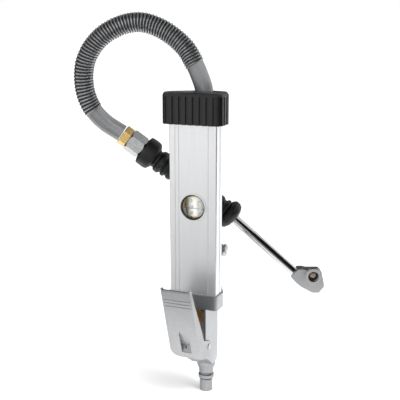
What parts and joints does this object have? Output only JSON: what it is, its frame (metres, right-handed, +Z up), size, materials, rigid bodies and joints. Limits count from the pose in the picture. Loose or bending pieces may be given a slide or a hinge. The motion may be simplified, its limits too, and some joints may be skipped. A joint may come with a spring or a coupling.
{
  "type": "tyre inflator with gauge",
  "caption": "Hand-held tyre inflator: extruded body with window gauge, front lever valve, spring-guarded hose loop, rubber grip and angled chuck wand.",
  "frame": {"origin": "centre of the inlet plug's open end, on the air axis", "axes": "+Z up the body from the inlet plug to the boot, -Y to the front where the gauge window and the lever are, +X to the user's right when facing the front"},
  "size_m": [0.1965, 0.1315, 0.3206],
  "materials": {
    "aluminium_anodised": "bright anodised extrusion",
    "zinc_diecast": "satin die-cast",
    "steel_plated": "bright zinc-plated",
    "chrome": "polished chrome",
    "brass": "turned",
    "rubber_black": "moulded, matt",
    "boot_rubber": "moulded, matt",
    "hose_grey": "smooth extruded",
    "spring_steel": "drawn wire",
    "drum_white": "printed scale",
    "lens_clear": "clear"
  },
  "bodies": {
    "inflator_body": {"tube": "aluminium_anodised", "window_bezel": "aluminium_anodised", "window_lens": "lens_clear", "window_seal": "rubber_black", "gauge_cylinder": "brass", "gauge_foot": "brass", "gauge_cap": "brass", "gauge_spring": "spring_steel", "air_pipe": "brass", "top_plug": "zinc_diecast", "hose_nipple": "brass", "boot": "boot_rubber", "valve_housing": "zinc_diecast", "inlet_plug": "steel_plated", "lever_pin": "steel_plated", "valve_cap": "brass", "bleed_bush": "steel_plated", "hose": "hose_grey", "spring_guard": "spring_steel", "ferrule": "brass", "coupling_nut": "steel_plated", "grip": "rubber_black", "chuck_tube": "chrome", "chuck_head": "chrome", "front_mouth": "chrome", "front_seal": "rubber_black", "rear_mouth": "chrome", "rear_seal": "rubber_black"},
    "lever": {"lever": "steel_plated"},
    "valve_stem": {"valve_stem": "steel_plated", "stem_seal": "rubber_black", "valve_spring": "spring_steel"},
    "gauge": {"scale_drum": "drum_white", "gauge_rod": "steel_plated", "gauge_piston": "brass", "piston_seal": "rubber_black"},
    "bleed_button": {"bleed_button": "chrome", "bleed_spring": "spring_steel"},
    "front_depressor": {"front_depressor": "brass"},
    "rear_depressor": {"rear_depressor": "brass"}
  },
  "joints": [
    {"name": "lever_pivot", "type": "hinge", "parent": "inflator_body", "child": "lever", "pos_m": [0, -0.0253, 0.05], "axis": [-1, 0, 0], "range_deg": [0, 10], "stiffness_Nm_per_rad": 0.6, "springref_deg": -2.86},
    {"name": "valve_stem_slide", "type": "slide", "parent": "inflator_body", "child": "valve_stem", "axis": [0, 1, 0], "range_m": [0, 0.0055]},
    {"name": "gauge_slide", "type": "slide", "parent": "inflator_body", "child": "gauge", "axis": [0, 0, 1], "range_m": [0, 0.03], "stiffness_N_per_m": 200, "springref_m": -0.004, "deforming": ["gauge_spring"]},
    {"name": "bleed_press", "type": "slide", "parent": "inflator_body", "child": "bleed_button", "axis": [-1, 0, 0], "range_m": [0, 0.0008], "stiffness_N_per_m": 800, "springref_m": -0.001},
    {"name": "front_press", "type": "slide", "parent": "inflator_body", "child": "front_depressor", "axis": [-0.3746, 0.9272, 0], "range_m": [0, 0.001], "stiffness_N_per_m": 600, "springref_m": -0.001},
    {"name": "rear_press", "type": "slide", "parent": "inflator_body", "child": "rear_depressor", "axis": [0.3746, -0.9272, 0], "range_m": [0, 0.001], "stiffness_N_per_m": 600, "springref_m": -0.001}
  ],
  "couplings": [
    {"joint": "valve_stem_slide", "follows": "lever_pivot", "m_per_rad": 0.031513}
  ]
}
